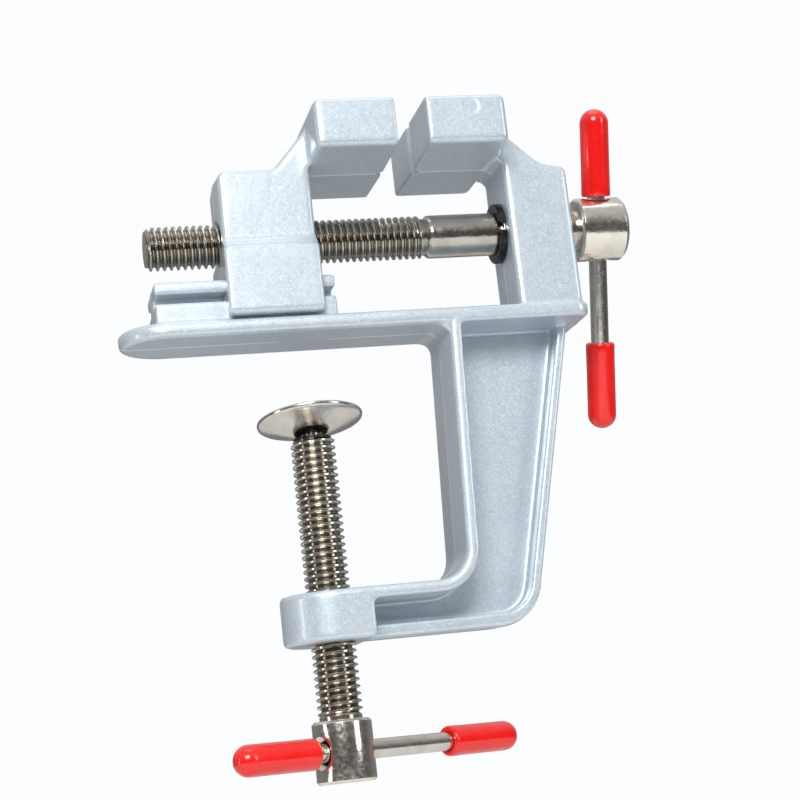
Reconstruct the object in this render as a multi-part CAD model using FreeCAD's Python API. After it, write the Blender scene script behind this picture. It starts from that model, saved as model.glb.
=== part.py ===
"""Clamp-on table vise with 31 mm jaws, built as separate solids, one STEP file each.

Frame of reference (millimetres): the origin is where the clamp screw's axis meets the flat
underside of the bed, which is the face that sits on the table top. +X runs along the main screw
towards its handle, +Y goes to the back of the vise and +Z is up. Y = 0 is the parting plane
of both castings, so every cast flank has draft on both sides of it.
"""
import FreeCAD
import Part
import math
import os
from FreeCAD import Vector

os.makedirs("parts", exist_ok=True)

# ---- driving dimensions: bed, rail and clamp frame -----------------------------------------
BED_LEFT = -33.0
BED_RIGHT = 52.7
BED_HALF_DEPTH = 8.6
BED_THICKNESS = 2.8
BED_RIGHT_CORNER = 2.6
EDGE_ROUND = 0.9

RAIL_LEFT = -26.6
RAIL_RIGHT = 5.9
RAIL_HALF_WIDTH = 6.5
RAIL_NECK_HALF_WIDTH = 2.3
RAIL_TOP = 10.5
RAIL_HEAD_BOTTOM = 8.25
RAIL_GROOVE_BOTTOM = 6.6

DRAFT = 0.3                       # how far a drafted flank stands out at the parting plane
THROAT_TOP_X = 25.7               # column face on the table side, at the bed
THROAT_BOTTOM_X = 23.8            # the same face, at the arm
COLUMN_OUTER_TOP_X = 49.6
COLUMN_OUTER_LEAN = 0.235         # the outer flank moves in by this much per millimetre of drop
ARM_TOP = -46.1
ARM_BOTTOM = -54.4
THROAT_TOP_ROUND = 2.5
THROAT_BOTTOM_ROUND = 5.5
HEEL_ROUND = 8.0
INNER_FLANGE = 2.1
OUTER_FLANGE = 1.5
LOWER_FLANGE = 2.0
RIM_FRONT_Y = -2.2                # outer and lower flanges stand back from the bed's front
POCKET_ROUND = 1.0
RIM_ROUND = 0.5
WEB_FRONT_Y = 1.8
WEB_BACK_Y = 4.8
BOSS_RADIUS = 8.7
BOSS_RIGHT = 5.8
BOSS_BOTTOM = -54.9
POCKET_LEFT = 6.4

# ---- driving dimensions: jaws ---------------------------------------------------------------
JAW_HALF_WIDTH = 15.5
JAW_BOTTOM = 31.5
JAW_TOP = 40.6
JAW_THICKNESS = 14.9
FIXED_FACE_X = 24.2
JAW_GAP = 5.8
JAW_ROUND = 1.1
V_GROOVE_HALF_WIDTH = 1.3
V_GROOVE_DEPTH = 1.0

UPRIGHT_LEFT = 39.9
UPRIGHT_RIGHT = 52.0
UPRIGHT_HALF_DEPTH = 6.8
UPRIGHT_SHOULDER = 29.1

CARRIAGE_LEFT = -13.5
CARRIAGE_RIGHT = 3.4
CARRIAGE_HALF_DEPTH = 6.4
CARRIAGE_TOP = 30.8
COVE_TOP = 18.3
SKIRT_TOP = 16.0
SKIRT_BOTTOM = 3.4
SKIRT_SIDE = 0.4                  # the skirt stands out this much to the left of the body
SKIRT_HALF_DEPTH = 9.0
SLIDE_GAP = 0.15

# ---- driving dimensions: screws, handles and clamp pad --------------------------------------
SCREW_RADIUS = 4.0
SCREW_BORE_RADIUS = 4.06
SCREW_Z = 18.5
SCREW_LEFT = -27.0
THREAD_END = 23.9
RUNOUT_RADIUS = 3.4
RUNOUT_LENGTH = 1.2
MAIN_HEAD_RADIUS = 6.0
MAIN_HEAD_LEFT = 54.3
MAIN_HEAD_LENGTH = 9.3
END_CHAMFER = 0.5

RING_OUTER_RADIUS = 5.6
RING_INNER_RADIUS = 3.45
RING_SEAT_RADIUS = 3.4
RING_THICKNESS = 1.2
RING_GAP = 1.8
RING_PLAY = 0.1

BAR_RADIUS = 1.7
BAR_HOLE_RADIUS = 1.78
BAR_HOLE_SINK = 1.0               # depth and extra radius of the countersink at each mouth
MAIN_BAR_FREE_LENGTH = 27.8       # bare bar between the two caps
CLAMP_BAR_FREE_LENGTH = 30.7
MAIN_CAP_GAP = 0.2                # from the near cap to the head it rests against
CLAMP_CAP_GAP = 1.35
CAP_LENGTH = 16.5
CAP_RADIUS = 2.75
CAP_ROUND = 1.9
CAP_SOCKET = 13.5
MAIN_BAR_LEAN = 18.0              # degrees that the bar's top leans to the front
CLAMP_BAR_TURN = 28.0             # degrees that the bar's left end swings to the front

CLAMP_HEAD_RADIUS = 5.25
CLAMP_HEAD_TOP = -68.1
CLAMP_HEAD_LENGTH = 10.8
TIP_SHOULDER_Z = -18.5
TIP_CHAMFER = 0.6
TIP_PIN_RADIUS = 1.6
TIP_RIVET_RADIUS = 2.7
WASHER_RADIUS = 3.4
WASHER_BORE_RADIUS = 1.66
WASHER_BOTTOM = -18.45
WASHER_TOP = -18.0

PAD_PIVOT_Z = -16.9               # height of the point that the pad rocks about
PAD_RADIUS = 9.6
PAD_HOLE_RADIUS = 1.9
PAD_FLAT_BOTTOM = -0.5            # heights in the pad are measured from the pivot
PAD_FLAT_TOP = 0.5
PAD_RIM_BOTTOM = 1.6
PAD_RIM_TOP = 2.6
PAD_RIM_ROUND = 0.3
PAD_UNDER_FLAT_RADIUS = 2.9
PAD_UNDER_RIM_RADIUS = 8.4
PAD_BOWL_RADIUS = 8.3
PAD_BOWL_FLOOR_RADIUS = 3.6
PAD_TOP_FLAT_RADIUS = 3.3
PAD_EASE = 0.1
RIVET_BOTTOM = 1.1
RIVET_TOP = 1.8
PAD_TILT_FRONT_UP = 8.1
PAD_TILT_RIGHT_UP = 1.2

ALONG_X = Vector(1, 0, 0)
ALONG_Y = Vector(0, 1, 0)
ALONG_Z = Vector(0, 0, 1)
MARGIN = 1.0                      # how far a cutting tool runs past what it cuts


# ---- helpers --------------------------------------------------------------------------------
def box(x0, x1, y0, y1, z0, z1):
    return Part.makeBox(x1 - x0, y1 - y0, z1 - z0, Vector(x0, y0, z0))


def rod_x(radius, x0, x1, y=0.0, z=SCREW_Z):
    return Part.makeCylinder(radius, x1 - x0, Vector(x0, y, z), ALONG_X)


def rod_z(radius, z0, z1):
    return Part.makeCylinder(radius, z1 - z0, Vector(0, 0, z0), ALONG_Z)


def grow(corners, distance):
    """Move every side of a counter-clockwise XZ outline outwards by the same distance."""
    grown = []
    count = len(corners)
    for i in range(count):
        x0, z0, _ = corners[i - 1]
        x1, z1, radius = corners[i]
        x2, z2, _ = corners[(i + 1) % count]
        in_len = math.hypot(x1 - x0, z1 - z0)
        out_len = math.hypot(x2 - x1, z2 - z1)
        nx0, nz0 = (z1 - z0) / in_len, -(x1 - x0) / in_len
        nx1, nz1 = (z2 - z1) / out_len, -(x2 - x1) / out_len
        share = distance / (1.0 + nx0 * nx1 + nz0 * nz1)
        turn = nx0 * nz1 - nz0 * nx1
        new_radius = 0.0
        if radius > 0:
            new_radius = radius + distance if turn > 0 else radius - distance
        grown.append((x1 + share * (nx0 + nx1), z1 + share * (nz0 + nz1), new_radius))
    return grown


def outline(corners, y):
    """Closed wire in the plane Y = y through (x, z, corner radius) points."""
    count = len(corners)
    starts, ends, middles = [], [], []
    for i in range(count):
        x0, z0, _ = corners[i - 1]
        x1, z1, radius = corners[i]
        x2, z2, _ = corners[(i + 1) % count]
        here = Vector(x1, y, z1)
        if radius <= 0:
            starts.append(here)
            ends.append(here)
            middles.append(None)
            continue
        back = Vector(x0 - x1, 0, z0 - z1).normalize()
        ahead = Vector(x2 - x1, 0, z2 - z1).normalize()
        half = back.getAngle(ahead) / 2.0
        reach = radius / math.tan(half)
        centre = here + (back + ahead).normalize() * (radius / math.sin(half))
        starts.append(here + back * reach)
        ends.append(here + ahead * reach)
        middles.append(centre + (here - centre).normalize() * radius)
    edges = []
    for i in range(count):
        if middles[i] is not None:
            edges.append(Part.Arc(starts[i], middles[i], ends[i]).toShape())
        following = starts[(i + 1) % count]
        if (following - ends[i]).Length > 1e-6:
            edges.append(Part.makeLine(ends[i], following))
    return Part.Wire(edges)


def slab(corners, y0, y1):
    """Straight-sided solid between two planes of constant Y."""
    return Part.Face(outline(corners, y0)).extrude(Vector(0, y1 - y0, 0))


def drafted(corners, half_depth):
    """Casting whose flanks stand out by DRAFT at Y = 0 and taper to both faces."""
    middle = outline(grow(corners, DRAFT), 0)
    front = Part.makeLoft([outline(corners, -half_depth), middle], True, True)
    back = Part.makeLoft([middle, outline(corners, half_depth)], True, True)
    return front.fuse(back)


def round_edges(shape, radius, wanted):
    """Fillet the edges that the wanted test picks, leaving out any that OCCT can't round."""
    chosen = [edge for edge in shape.Edges if wanted(edge)]
    try:
        return shape.makeFillet(radius, chosen)
    except Part.OCCError:
        for edge in chosen:
            mid = edge.valueAt((edge.FirstParameter + edge.LastParameter) / 2)
            print("not rounded together, near", mid)
        return shape


def lies_in_plane(edge, axis, value):
    box_of_edge = edge.BoundBox
    low = {"x": box_of_edge.XMin, "y": box_of_edge.YMin, "z": box_of_edge.ZMin}[axis]
    high = {"x": box_of_edge.XMax, "y": box_of_edge.YMax, "z": box_of_edge.ZMax}[axis]
    return abs(low - value) < 1e-3 and abs(high - value) < 1e-3


def round_rims(shape):
    return [edge for edge in shape.Edges if edge.Curve.TypeId == "Part::GeomCircle"]


def on_either_face(edge, half_depth):
    return lies_in_plane(edge, "y", -half_depth) or lies_in_plane(edge, "y", half_depth)


def export(shape, name):
    clean = shape.removeSplitter()
    assert clean.isValid(), name
    assert len(clean.Solids) == 1, (name, len(clean.Solids))
    clean.Solids[0].exportStep("parts/" + name + ".step")


# ---- frame casting ---------------------------------------------------------------------------
def make_bed():
    left = Part.makeCylinder(BED_HALF_DEPTH, BED_THICKNESS,
                             Vector(BED_LEFT + BED_HALF_DEPTH, 0, 0), ALONG_Z)
    plate = box(BED_LEFT + BED_HALF_DEPTH, BED_RIGHT, -BED_HALF_DEPTH, BED_HALF_DEPTH,
                0, BED_THICKNESS)
    bed = left.fuse(plate).removeSplitter()
    bed = round_edges(bed, BED_RIGHT_CORNER,
                      lambda e: abs(e.BoundBox.XMin - BED_RIGHT) < 1e-3
                      and abs(e.BoundBox.XMax - BED_RIGHT) < 1e-3
                      and e.BoundBox.ZLength > BED_THICKNESS - 1e-3)
    return round_edges(bed, EDGE_ROUND,
                       lambda e: lies_in_plane(e, "z", 0) or lies_in_plane(e, "z", BED_THICKNESS))


def make_rail():
    head = box(RAIL_LEFT, RAIL_RIGHT, -RAIL_HALF_WIDTH, RAIL_HALF_WIDTH,
               RAIL_HEAD_BOTTOM, RAIL_TOP)
    head = round_edges(head, 0.4, lambda e: lies_in_plane(e, "z", RAIL_TOP))
    neck = box(RAIL_LEFT, RAIL_RIGHT, -RAIL_NECK_HALF_WIDTH, RAIL_NECK_HALF_WIDTH,
               RAIL_GROOVE_BOTTOM - MARGIN, RAIL_HEAD_BOTTOM + MARGIN)
    foot = box(RAIL_LEFT, RAIL_RIGHT, -RAIL_HALF_WIDTH, RAIL_HALF_WIDTH,
               BED_THICKNESS - MARGIN, RAIL_GROOVE_BOTTOM)
    return head.fuse(neck).fuse(foot)


def make_jaw_block(x0, x1, face_x):
    """One jaw with a vertical V groove in the gripping face at face_x."""
    block = box(x0, x1, -JAW_HALF_WIDTH, JAW_HALF_WIDTH, JAW_BOTTOM, JAW_TOP)
    block = round_edges(block, JAW_ROUND,
                        lambda e: not lies_in_plane(e, "x", face_x))
    inwards = 1.0 if face_x < (x0 + x1) / 2 else -1.0
    corners = [(face_x - inwards * MARGIN, -V_GROOVE_HALF_WIDTH),
               (face_x, -V_GROOVE_HALF_WIDTH),
               (face_x + inwards * V_GROOVE_DEPTH, 0),
               (face_x, V_GROOVE_HALF_WIDTH),
               (face_x - inwards * MARGIN, V_GROOVE_HALF_WIDTH)]
    points = [Vector(x, y, JAW_BOTTOM - MARGIN) for x, y in corners]
    prism = Part.Face(Part.makePolygon(points + points[:1]))
    return block.cut(prism.extrude(Vector(0, 0, JAW_TOP - JAW_BOTTOM + 2 * MARGIN)))


def make_upright():
    """Post that carries the fixed jaw, with the shoulder that rises to the jaw's back."""
    jaw_back = FIXED_FACE_X + JAW_THICKNESS
    corners = [(UPRIGHT_LEFT, BED_THICKNESS - MARGIN, 0),
               (UPRIGHT_RIGHT, BED_THICKNESS - MARGIN, 0),
               (UPRIGHT_RIGHT, UPRIGHT_SHOULDER, 1.4),
               (UPRIGHT_LEFT + 7.2, UPRIGHT_SHOULDER + 0.9, 4.0),
               (jaw_back - 0.4, JAW_TOP - 2.6, 0),
               (jaw_back - 1.4, JAW_TOP - 2.6, 0),
               (jaw_back - 1.4, JAW_BOTTOM + 0.6, 0),
               (UPRIGHT_LEFT, JAW_BOTTOM - 1.4, 0)]
    post = drafted(corners, UPRIGHT_HALF_DEPTH)
    return round_edges(post, EDGE_ROUND,
                       lambda e: on_either_face(e, UPRIGHT_HALF_DEPTH)
                       and e.BoundBox.XMin > UPRIGHT_LEFT - 1e-3
                       and e.BoundBox.ZMax > BED_THICKNESS)


def outer_flank_x(z):
    return COLUMN_OUTER_TOP_X + COLUMN_OUTER_LEAN * z


def throat_x(z):
    return THROAT_TOP_X + (THROAT_TOP_X - THROAT_BOTTOM_X) * z / -ARM_TOP


def make_clamp_frame():
    """Column and arm of the C frame, with a pocket in both faces that leaves a thin web."""
    top = BED_THICKNESS / 2
    corners = [(throat_x(top), top, 0),
               (THROAT_BOTTOM_X, ARM_TOP, THROAT_BOTTOM_ROUND),
               (0, ARM_TOP, 0),
               (0, ARM_BOTTOM, 0),
               (outer_flank_x(ARM_BOTTOM), ARM_BOTTOM, HEEL_ROUND),
               (outer_flank_x(top), top, 0)]
    solid = drafted(corners, BED_HALF_DEPTH)
    solid = round_edges(solid, EDGE_ROUND,
                        lambda e: on_either_face(e, BED_HALF_DEPTH)
                        and e.BoundBox.XMax > BOSS_RIGHT
                        and not lies_in_plane(e, "z", top)
                        and not lies_in_plane(e, "x", 0))
    lean = math.hypot(1.0, COLUMN_OUTER_LEAN)
    pocket_floor = ARM_BOTTOM + LOWER_FLANGE
    pocket_roof = ARM_TOP - INNER_FLANGE
    inner_side = [(throat_x(0) + INNER_FLANGE, 0, POCKET_ROUND),
                  (throat_x(ARM_TOP) + INNER_FLANGE, pocket_roof,
                   THROAT_BOTTOM_ROUND + INNER_FLANGE),
                  (POCKET_LEFT, pocket_roof, POCKET_ROUND)]
    pocket = inner_side + [
        (POCKET_LEFT, pocket_floor, POCKET_ROUND),
        (outer_flank_x(pocket_floor) - OUTER_FLANGE * lean, pocket_floor, HEEL_ROUND - LOWER_FLANGE),
        (outer_flank_x(0) - OUTER_FLANGE * lean, 0, POCKET_ROUND)]
    beyond = outer_flank_x(0) + DRAFT + MARGIN
    set_back = inner_side + [(POCKET_LEFT, ARM_BOTTOM - DRAFT - MARGIN, 0),
                             (beyond, ARM_BOTTOM - DRAFT - MARGIN, 0),
                             (beyond, 0, 0)]
    solid = solid.cut(slab(set_back, -BED_HALF_DEPTH - MARGIN, RIM_FRONT_Y))
    solid = round_edges(solid, RIM_ROUND,
                        lambda e: lies_in_plane(e, "y", RIM_FRONT_Y)
                        and (e.BoundBox.ZMin < ARM_BOTTOM + MARGIN
                             or e.BoundBox.XMin > outer_flank_x(ARM_BOTTOM) - MARGIN)
                        and e.BoundBox.XMin > POCKET_LEFT - 1e-3
                        and e.BoundBox.ZLength + e.BoundBox.XLength > MARGIN
                        and not lies_in_plane(e, "z", 0))
    front = slab(pocket, -BED_HALF_DEPTH - MARGIN, WEB_FRONT_Y)
    back = slab(pocket, WEB_BACK_Y, BED_HALF_DEPTH + MARGIN)
    return solid.cut(front).cut(back)


def make_boss():
    """Half-round end of the arm that the clamp screw threads through."""
    drum = rod_z(BOSS_RADIUS, BOSS_BOTTOM, ARM_TOP)
    shank = box(0, BOSS_RIGHT, -BOSS_RADIUS, BOSS_RADIUS, BOSS_BOTTOM, ARM_TOP)
    boss = drum.cut(box(0, BOSS_RADIUS, -BOSS_RADIUS, BOSS_RADIUS, BOSS_BOTTOM, ARM_TOP))
    boss = boss.fuse(shank).removeSplitter()
    return round_edges(boss, EDGE_ROUND,
                       lambda e: not lies_in_plane(e, "x", BOSS_RIGHT)
                       and (lies_in_plane(e, "z", ARM_TOP) or lies_in_plane(e, "z", BOSS_BOTTOM)))


def make_throat_fillet():
    """Concave round where the column meets the underside of the bed."""
    radius = THROAT_TOP_ROUND
    face = throat_x(0)
    reach = radius + DRAFT
    wedge = box(face - reach, face + MARGIN, -BED_HALF_DEPTH, BED_HALF_DEPTH, -reach, MARGIN)
    bore = Part.makeCylinder(reach, 2 * BED_HALF_DEPTH, Vector(face - reach, -BED_HALF_DEPTH, -reach),
                             ALONG_Y)
    fillet = wedge.cut(bore)
    return fillet.common(box(face - reach, face + MARGIN, -BED_HALF_DEPTH + EDGE_ROUND,
                             BED_HALF_DEPTH - EDGE_ROUND, -reach, MARGIN))


def make_frame_casting():
    jaw = make_jaw_block(FIXED_FACE_X, FIXED_FACE_X + JAW_THICKNESS, FIXED_FACE_X)
    casting = make_bed()
    for piece in (make_rail(), make_upright(), jaw, make_clamp_frame(), make_boss(),
                  make_throat_fillet()):
        casting = casting.fuse(piece)
    casting = casting.cut(rod_x(SCREW_BORE_RADIUS, UPRIGHT_LEFT - 2, UPRIGHT_RIGHT + 2))
    return casting.cut(rod_z(SCREW_BORE_RADIUS, BOSS_BOTTOM - MARGIN, ARM_TOP + MARGIN))


# ---- moving jaw casting ----------------------------------------------------------------------
def make_carriage_body():
    """Upper body of the moving jaw, with the gusset that rises to the jaw's back."""
    jaw_back = FIXED_FACE_X - JAW_GAP - JAW_THICKNESS
    corners = [(CARRIAGE_LEFT, SKIRT_TOP - MARGIN, 0),
               (CARRIAGE_RIGHT, SKIRT_TOP - MARGIN, 0),
               (CARRIAGE_RIGHT, JAW_BOTTOM - 0.6, 0),
               (jaw_back + 1.4, JAW_BOTTOM + 1.0, 0),
               (jaw_back + 1.4, JAW_TOP - 1.8, 0),
               (jaw_back + 0.4, JAW_TOP - 1.8, 0),
               (CARRIAGE_LEFT + 10.4, CARRIAGE_TOP, 2.0),
               (CARRIAGE_LEFT, CARRIAGE_TOP, 1.6)]
    body = drafted(corners, CARRIAGE_HALF_DEPTH)
    return round_edges(body, EDGE_ROUND,
                       lambda e: on_either_face(e, CARRIAGE_HALF_DEPTH)
                       and e.BoundBox.XMax < CARRIAGE_RIGHT + 1e-3
                       and e.BoundBox.ZMax > SKIRT_TOP)


def make_skirt():
    """Lower block that wraps the rail, with a cove above it on both faces."""
    left = CARRIAGE_LEFT - SKIRT_SIDE
    half = SKIRT_HALF_DEPTH
    skirt = box(left, CARRIAGE_RIGHT, -half, half, SKIRT_BOTTOM, SKIRT_TOP)
    skirt = round_edges(skirt, 0.6,
                        lambda e: lies_in_plane(e, "z", SKIRT_TOP)
                        or e.BoundBox.ZLength > SKIRT_TOP - SKIRT_BOTTOM - 1e-3)
    skirt = round_edges(skirt, 0.9, lambda e: lies_in_plane(e, "z", SKIRT_BOTTOM))
    run = SKIRT_HALF_DEPTH - 0.6
    rise = [Vector(0, -run, SKIRT_TOP - 0.3), Vector(0, run, SKIRT_TOP - 0.3),
            Vector(0, CARRIAGE_HALF_DEPTH - 0.4, COVE_TOP),
            Vector(0, -CARRIAGE_HALF_DEPTH + 0.4, COVE_TOP)]
    cove = Part.Face(Part.makePolygon(rise + rise[:1]))
    cove = cove.extrude(Vector(CARRIAGE_RIGHT - CARRIAGE_LEFT, 0, 0))
    cove.translate(Vector(CARRIAGE_LEFT, 0, 0))
    return skirt.fuse(cove)


def make_rail_slot():
    """Space for the rail: wide at its head and foot, narrow between the two tongues."""
    x0 = CARRIAGE_LEFT - SKIRT_SIDE - MARGIN
    x1 = CARRIAGE_RIGHT + MARGIN
    wide = RAIL_HALF_WIDTH + SLIDE_GAP
    narrow = RAIL_NECK_HALF_WIDTH + SLIDE_GAP
    head = box(x0, x1, -wide, wide, RAIL_HEAD_BOTTOM - SLIDE_GAP, RAIL_TOP + SLIDE_GAP)
    neck = box(x0, x1, -narrow, narrow, SKIRT_BOTTOM, RAIL_TOP)
    foot = box(x0, x1, -wide, wide, SKIRT_BOTTOM - MARGIN, RAIL_GROOVE_BOTTOM + SLIDE_GAP)
    return head.fuse(neck).fuse(foot)


def make_moving_jaw():
    face = FIXED_FACE_X - JAW_GAP
    jaw = make_jaw_block(face - JAW_THICKNESS, face, face)
    casting = make_carriage_body().fuse(make_skirt()).fuse(jaw)
    casting = casting.cut(make_rail_slot())
    return casting.cut(rod_x(SCREW_BORE_RADIUS, CARRIAGE_LEFT - 2, CARRIAGE_RIGHT + 2))


# ---- main screw, its ring and its handle -------------------------------------------------------
def ring_left_x():
    return UPRIGHT_LEFT - DRAFT - RING_PLAY - RING_THICKNESS


def make_main_screw():
    thread = Part.makeCone(SCREW_RADIUS - 0.8, SCREW_RADIUS, 0.8,
                           Vector(SCREW_LEFT, 0, SCREW_Z), ALONG_X)
    thread = thread.fuse(rod_x(SCREW_RADIUS, SCREW_LEFT + 0.8, THREAD_END))
    runout = rod_x(RUNOUT_RADIUS, THREAD_END, THREAD_END + RUNOUT_LENGTH)
    shank = rod_x(SCREW_RADIUS, THREAD_END + RUNOUT_LENGTH, MAIN_HEAD_LEFT)
    head = rod_x(MAIN_HEAD_RADIUS, MAIN_HEAD_LEFT, MAIN_HEAD_LEFT + MAIN_HEAD_LENGTH)
    head = head.makeChamfer(END_CHAMFER, round_rims(head))
    screw = thread.fuse(runout).fuse(shank).fuse(head)
    seat = rod_x(SCREW_RADIUS + MARGIN, ring_left_x(), ring_left_x() + RING_THICKNESS)
    seat = seat.cut(rod_x(RING_SEAT_RADIUS, ring_left_x() - MARGIN, ring_left_x() + 2 * MARGIN))
    return screw.cut(seat).cut(bar_hole(main_bar_centre(), main_bar_axis(), MAIN_HEAD_RADIUS))


def make_retaining_ring():
    inset = 0.02
    x0 = ring_left_x() + inset
    x1 = ring_left_x() + RING_THICKNESS - inset
    ring = rod_x(RING_OUTER_RADIUS, x0, x1)
    ring = ring.cut(rod_x(RING_INNER_RADIUS, x0 - MARGIN, x1 + MARGIN))
    mouth = box(x0 - MARGIN, x1 + MARGIN, -RING_OUTER_RADIUS - MARGIN, 0,
                SCREW_Z - RING_GAP / 2, SCREW_Z + RING_GAP / 2)
    ring = ring.cut(mouth)
    return round_edges(ring, 0.25, lambda e: lies_in_plane(e, "x", x0) and e.Length > 15)


def main_bar_axis():
    lean = math.radians(MAIN_BAR_LEAN)
    return Vector(0, -math.sin(lean), math.cos(lean))


def main_bar_centre():
    return Vector(MAIN_HEAD_LEFT + MAIN_HEAD_LENGTH / 2, 0, SCREW_Z)


def clamp_bar_axis():
    turn = math.radians(CLAMP_BAR_TURN)
    return Vector(-math.cos(turn), -math.sin(turn), 0)


def clamp_bar_centre():
    return Vector(0, 0, CLAMP_HEAD_TOP - CLAMP_HEAD_LENGTH / 2)


def bar_hole(centre, axis, head_radius):
    """Cross hole through a head, countersunk at both mouths."""
    reach = head_radius + MARGIN
    hole = Part.makeCylinder(BAR_HOLE_RADIUS, 2 * reach, centre - axis * reach, axis)
    floor = head_radius - BAR_HOLE_SINK
    widest = BAR_HOLE_RADIUS + reach - floor
    for outwards in (axis, axis * -1):
        sink = Part.makeCone(BAR_HOLE_RADIUS, widest, reach - floor, centre + outwards * floor, outwards)
        hole = hole.fuse(sink)
    return hole


def bar_rod(radius, start, end):
    """Rod along the main handle's bar, measured from the screw's axis."""
    axis = main_bar_axis()
    return Part.makeCylinder(radius, end - start, main_bar_centre() + axis * start, axis)


def clamp_bar_rod(radius, start, end):
    axis = clamp_bar_axis()
    return Part.makeCylinder(radius, end - start, clamp_bar_centre() + axis * start, axis)


def make_bar(rod, near_cap, far_cap):
    """Plain bar; its caps start at near_cap and far_cap, measured from the screw's axis."""
    return rod(BAR_RADIUS, far_cap - CAP_SOCKET, near_cap + CAP_SOCKET)


def make_cap(rod, start, outwards):
    """Dipped cap with a blind socket for the bar and a domed end."""
    tip = start + outwards * CAP_LENGTH
    mouth = start + outwards * CAP_SOCKET
    body = rod(CAP_RADIUS, min(start, tip), max(start, tip))
    circles = round_rims(body)
    reference = rod(CAP_RADIUS, tip - 0.01, tip + 0.01).CenterOfMass
    circles.sort(key=lambda e: (e.Curve.Center - reference).Length)
    body = body.makeFillet(CAP_ROUND, circles[:1])
    return body.cut(rod(BAR_RADIUS, min(start - outwards * MARGIN, mouth),
                        max(start - outwards * MARGIN, mouth)))


MAIN_NEAR_CAP = MAIN_HEAD_RADIUS + MAIN_CAP_GAP
MAIN_FAR_CAP = MAIN_NEAR_CAP - MAIN_BAR_FREE_LENGTH
CLAMP_NEAR_CAP = CLAMP_HEAD_RADIUS + CLAMP_CAP_GAP
CLAMP_FAR_CAP = CLAMP_NEAR_CAP - CLAMP_BAR_FREE_LENGTH


# ---- clamp screw and pad -----------------------------------------------------------------------
def make_clamp_screw():
    head_bottom = CLAMP_HEAD_TOP - CLAMP_HEAD_LENGTH
    head = rod_z(CLAMP_HEAD_RADIUS, head_bottom, CLAMP_HEAD_TOP)
    head = head.makeChamfer(END_CHAMFER, round_rims(head))
    thread = rod_z(SCREW_RADIUS, CLAMP_HEAD_TOP, TIP_SHOULDER_Z - TIP_CHAMFER)
    taper = Part.makeCone(SCREW_RADIUS, SCREW_RADIUS - TIP_CHAMFER, TIP_CHAMFER,
                          Vector(0, 0, TIP_SHOULDER_Z - TIP_CHAMFER), ALONG_Z)
    pin = rod_z(TIP_PIN_RADIUS, TIP_SHOULDER_Z, PAD_PIVOT_Z + RIVET_BOTTOM)
    rivet = rod_z(TIP_RIVET_RADIUS, PAD_PIVOT_Z + RIVET_BOTTOM, PAD_PIVOT_Z + RIVET_TOP)
    rivet = round_edges(rivet, 0.4, lambda e: lies_in_plane(e, "z", PAD_PIVOT_Z + RIVET_TOP))
    screw = head.fuse(thread).fuse(taper).fuse(pin).fuse(rivet)
    return screw.cut(bar_hole(clamp_bar_centre(), clamp_bar_axis(), CLAMP_HEAD_RADIUS))


def make_swivel_washer():
    """Loose washer on the screw's pin: it rises and falls with the screw and carries the pad."""
    washer = rod_z(WASHER_RADIUS, WASHER_BOTTOM, WASHER_TOP)
    return washer.cut(rod_z(WASHER_BORE_RADIUS, WASHER_BOTTOM - MARGIN, WASHER_TOP + MARGIN))


def make_clamp_pad():
    """Dished swivel pad, drawn level around its pivot and then tilted as it hangs."""
    points = [Vector(PAD_HOLE_RADIUS, 0, PAD_FLAT_BOTTOM),
              Vector(PAD_UNDER_FLAT_RADIUS, 0, PAD_FLAT_BOTTOM),
              Vector(PAD_UNDER_RIM_RADIUS, 0, PAD_RIM_BOTTOM - PAD_EASE),
              Vector(PAD_RADIUS - PAD_RIM_ROUND, 0, PAD_RIM_BOTTOM),
              Vector(PAD_RADIUS, 0, PAD_RIM_BOTTOM + PAD_RIM_ROUND),
              Vector(PAD_RADIUS, 0, PAD_RIM_TOP - PAD_RIM_ROUND),
              Vector(PAD_RADIUS - PAD_RIM_ROUND, 0, PAD_RIM_TOP),
              Vector(PAD_BOWL_RADIUS, 0, PAD_RIM_TOP),
              Vector(PAD_BOWL_FLOOR_RADIUS, 0, PAD_FLAT_TOP + PAD_EASE),
              Vector(PAD_TOP_FLAT_RADIUS, 0, PAD_FLAT_TOP),
              Vector(PAD_HOLE_RADIUS, 0, PAD_FLAT_TOP)]
    profile = Part.Face(Part.makePolygon(points + points[:1]))
    pad = profile.revolve(Vector(0, 0, 0), ALONG_Z, 360)
    pad.rotate(Vector(0, 0, 0), pad_tilt_axis(), pad_tilt())
    pad.translate(Vector(0, 0, PAD_PIVOT_Z))
    return pad


def pad_normal():
    """Upward normal of the tilted pad: its front edge and its right edge both stand high."""
    front = math.radians(PAD_TILT_FRONT_UP)
    right = math.radians(PAD_TILT_RIGHT_UP)
    return Vector(-math.tan(right), math.tan(front), 1).normalize()


def pad_tilt_axis():
    return ALONG_Z.cross(pad_normal()).normalize()


def pad_tilt():
    return math.degrees(ALONG_Z.getAngle(pad_normal()))


# ---- all pieces ----------------------------------------------------------------------------------
PIECES = {
    "frame_casting": make_frame_casting(),
    "moving_jaw": make_moving_jaw(),
    "main_screw": make_main_screw(),
    "retaining_ring": make_retaining_ring(),
    "main_handle_bar": make_bar(bar_rod, MAIN_NEAR_CAP, MAIN_FAR_CAP),
    "main_handle_cap_top": make_cap(bar_rod, MAIN_NEAR_CAP, 1),
    "main_handle_cap_bottom": make_cap(bar_rod, MAIN_FAR_CAP, -1),
    "clamp_screw": make_clamp_screw(),
    "swivel_washer": make_swivel_washer(),
    "clamp_pad": make_clamp_pad(),
    "clamp_handle_bar": make_bar(clamp_bar_rod, CLAMP_NEAR_CAP, CLAMP_FAR_CAP),
    "clamp_handle_cap_left": make_cap(clamp_bar_rod, CLAMP_NEAR_CAP, 1),
    "clamp_handle_cap_right": make_cap(clamp_bar_rod, CLAMP_FAR_CAP, -1),
}

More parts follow.
